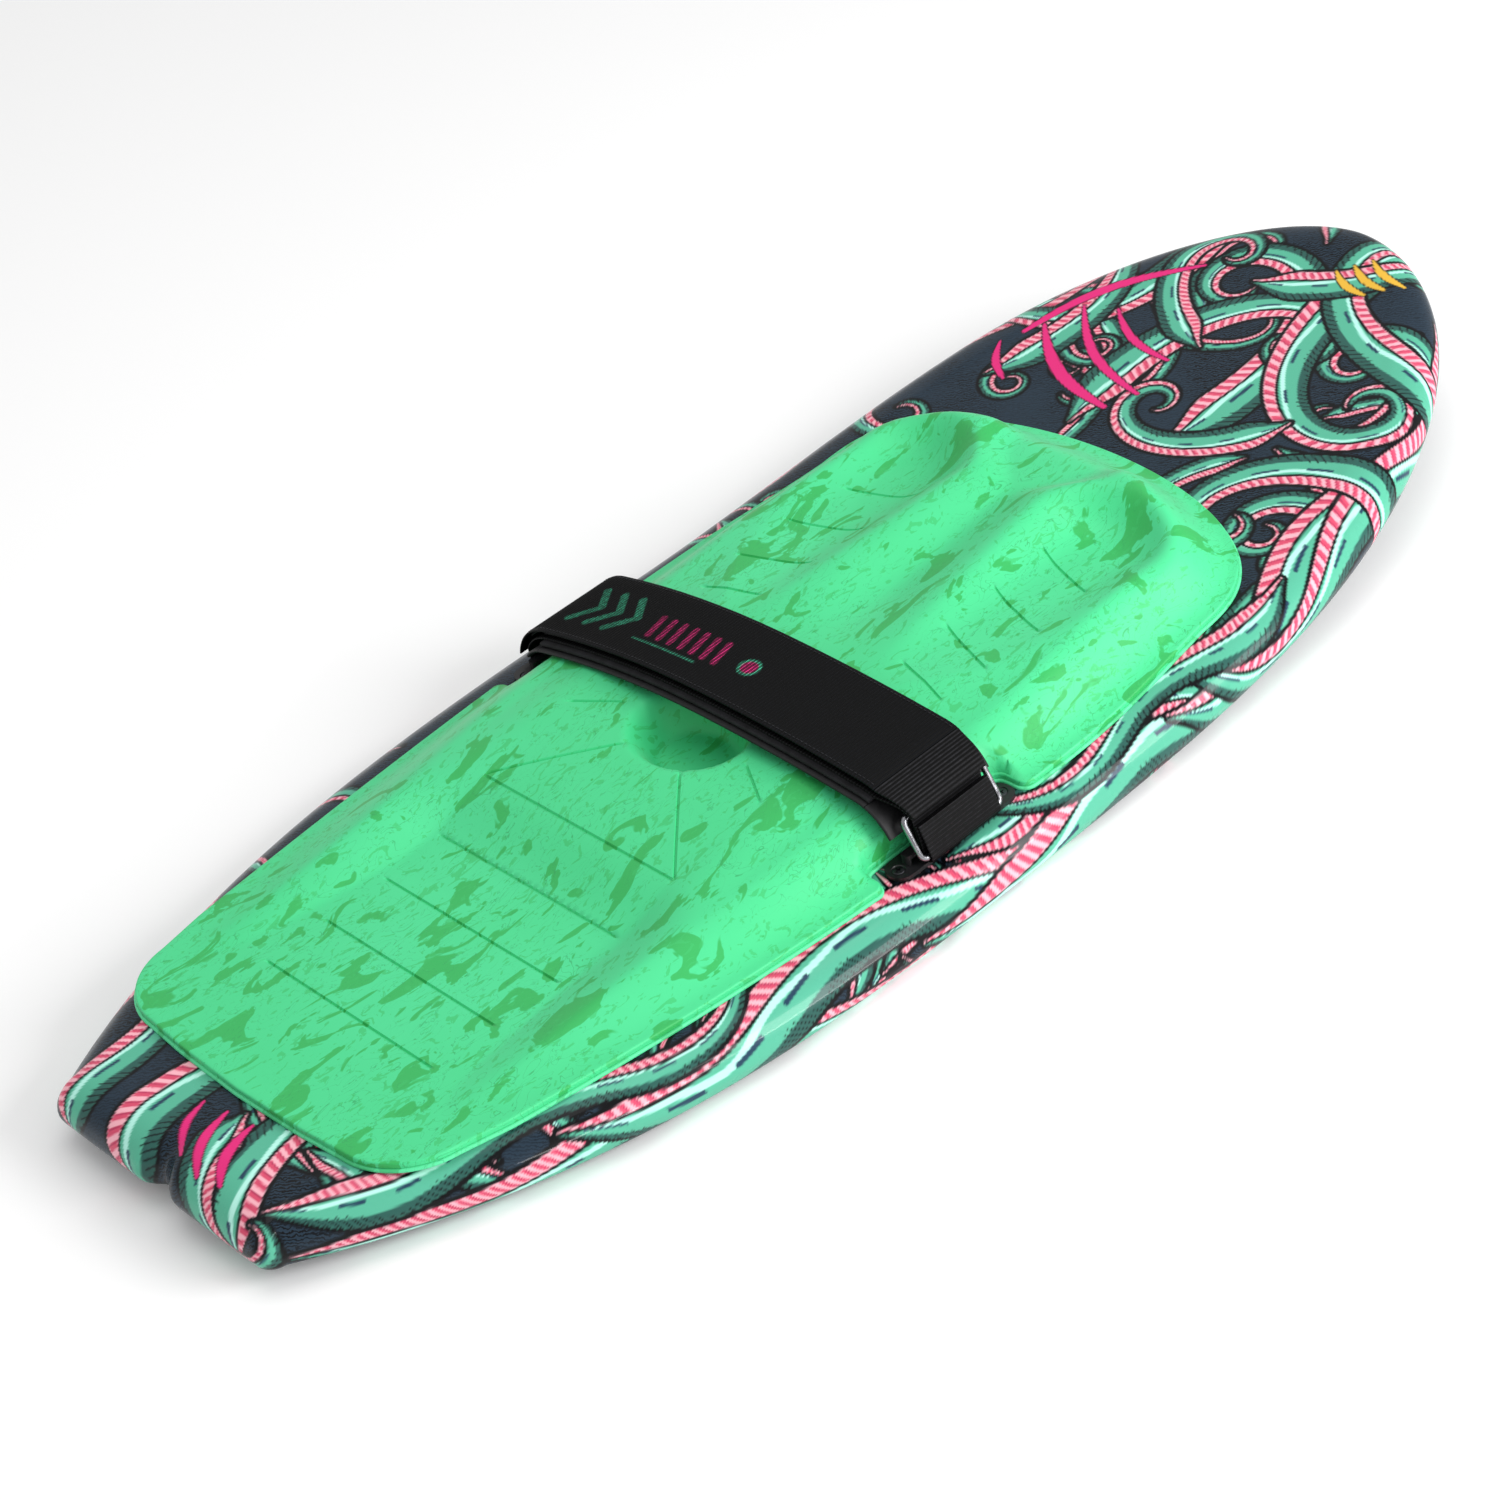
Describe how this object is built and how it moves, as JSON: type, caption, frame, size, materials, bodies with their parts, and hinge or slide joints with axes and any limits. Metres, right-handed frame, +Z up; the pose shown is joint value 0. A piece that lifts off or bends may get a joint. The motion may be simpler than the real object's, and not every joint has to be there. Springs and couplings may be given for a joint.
{
  "type": "kneeboard",
  "caption": "Kneeboard with a printed moulded hull, a sculpted foam kneeling pad and a wide fold-back thigh strap on screwed anchors.",
  "frame": {"origin": "on the ground, under the middle of the board's length and width", "axes": "+X to the nose, +Y to port (the side with no ring), +Z up"},
  "size_m": [1.32, 0.5062, 0.1136],
  "materials": {
    "deck_print": "glossy printed film over the moulded deck skin",
    "base_plastic": "smooth moulded polyethylene",
    "core_foam": "closed-cell foam filling",
    "pad_foam": "heat-moulded marbled EVA foam, satin skin",
    "backing_foam": "thin EVA layer under the pad",
    "anchor_plastic": "black glass-filled nylon",
    "insert_brass": "threaded insert",
    "screw_steel": "black oxide stainless steel",
    "ring_steel": "polished stainless wire, lightly worn",
    "webbing": "ribbed polyester webbing",
    "lining": "neoprene faced with jersey",
    "strap_foam": "open edge of the strap's foam",
    "tape": "hook and loop tape"
  },
  "bodies": {
    "root": {"base_shell": "base_plastic", "deck_shell": "deck_print", "foam_core": "core_foam", "insert_near_rear": "insert_brass", "insert_near_front": "insert_brass", "insert_far_rear": "insert_brass", "insert_far_front": "insert_brass", "screw_near_rear": "screw_steel", "screw_near_front": "screw_steel", "screw_far_rear": "screw_steel", "screw_far_front": "screw_steel", "near_bracket": "anchor_plastic", "far_bracket": "anchor_plastic", "knee_pad": "pad_foam", "pad_backing": "backing_foam", "near_lining_leg": "lining", "far_lining_leg": "lining", "far_webbing_leg": "webbing", "near_ply_lower": "webbing", "near_ply_upper": "webbing", "ring_keeper": "webbing"},
    "strap_arch": {"strap_lining": "lining", "strap_foam": "strap_foam", "standing_webbing": "webbing", "loop_tape": "tape"},
    "strap_tail": {"hook_tape": "tape", "tail_webbing": "webbing"},
    "ring": {"steel_ring": "ring_steel", "ring_fold": "webbing"}
  },
  "joints": [
    {"name": "strap_lift", "type": "slide", "parent": "root", "child": "strap_arch", "axis": [0, 0, 1], "range_m": [0, 0.045]},
    {"name": "tail_peel", "type": "hinge", "parent": "strap_arch", "child": "strap_tail", "pos_m": [-0.079, -0.18267, 0.10251], "axis": [1, 0, 0], "range_deg": [0, 110]},
    {"name": "ring_pivot", "type": "hinge", "parent": "root", "child": "ring", "pos_m": [-0.079, -0.2038, 0.08229], "axis": [-1, 0, 0], "range_deg": [0, 20]}
  ]
}
